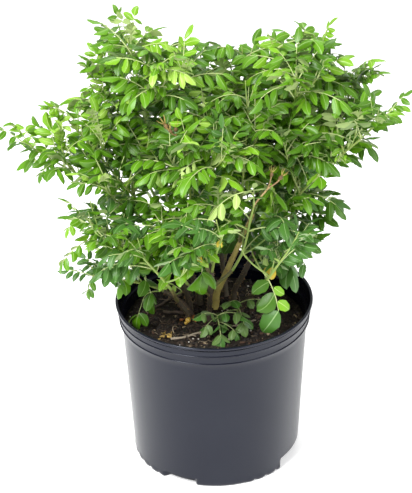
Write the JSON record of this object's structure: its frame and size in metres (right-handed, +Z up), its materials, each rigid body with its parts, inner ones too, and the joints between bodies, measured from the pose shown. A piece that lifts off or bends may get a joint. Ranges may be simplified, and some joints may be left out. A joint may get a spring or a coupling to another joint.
{
  "type": "potted rose bush",
  "caption": "Bushy leafy rose with arching canes and pinnate leaves in a round tapered nursery pot filled with potting mix.",
  "frame": {"origin": "centre of the pot's flat underside", "axes": "+Z up the pot's axis, -Y towards the bush's front, +X to its right"},
  "size_m": [0.5606, 0.4564, 0.653],
  "materials": {
    "pot_plastic": "moulded black nursery plastic, satin, lightly scuffed",
    "potting_mix": "moist dark bark and peat mix with pale specks",
    "cane_bark": "yellow-green to tan young bark with fine bristles",
    "green_bough": "smooth green young wood with prickles",
    "rose_leaf": "fresh green leaflets with sunken veins and paler undersides",
    "dead_wood": "dry grey-brown bark"
  },
  "bodies": {
    "root": {"pot": "pot_plastic", "soil": "potting_mix", "cane_centre": "cane_bark", "cane_left_top": "cane_bark", "cane_far_left": "cane_bark", "cane_left_low": "cane_bark", "cane_centre_top": "cane_bark", "cane_far_right": "cane_bark", "cane_right_low": "cane_bark", "cane_back": "cane_bark", "cane_front": "cane_bark", "bough_left_peak": "green_bough", "bough_left_high": "green_bough", "bough_left_mid": "green_bough", "bough_right_inner": "green_bough", "bough_top_right": "green_bough", "bough_right_high": "green_bough", "bough_right_mid": "green_bough", "bough_front_left": "green_bough", "bough_front_right": "green_bough", "bough_front_top": "green_bough", "bough_inner_left": "green_bough", "bough_inner_right": "green_bough", "bough_back_left": "green_bough", "bough_back_right": "green_bough", "bough_back_low": "green_bough", "dead_cane": "dead_wood", "stick_left": "dead_wood", "stick_short": "dead_wood", "stick_front": "dead_wood", "stick_pale": "dead_wood", "stick_stub": "dead_wood", "mass_centre": "rose_leaf", "mass_left_top": "rose_leaf", "mass_far_left": "rose_leaf", "mass_left_low": "rose_leaf", "mass_centre_top": "rose_leaf", "mass_far_right": "rose_leaf", "mass_right_low": "rose_leaf", "mass_back": "rose_leaf", "mass_front": "rose_leaf", "mass_left_peak": "rose_leaf", "mass_left_high": "rose_leaf", "mass_left_mid": "rose_leaf", "mass_right_inner": "rose_leaf", "mass_top_right": "rose_leaf", "mass_right_high": "rose_leaf", "mass_right_mid": "rose_leaf", "mass_front_left": "rose_leaf", "mass_front_right": "rose_leaf", "mass_front_top": "rose_leaf", "mass_inner_left": "rose_leaf", "mass_inner_right": "rose_leaf", "mass_back_left": "rose_leaf", "mass_back_right": "rose_leaf", "mass_back_low": "rose_leaf", "mass_sprout_front": "rose_leaf", "mass_sprout_right": "rose_leaf", "mass_hanging_leaf": "rose_leaf"}
  },
  "joints": []
}
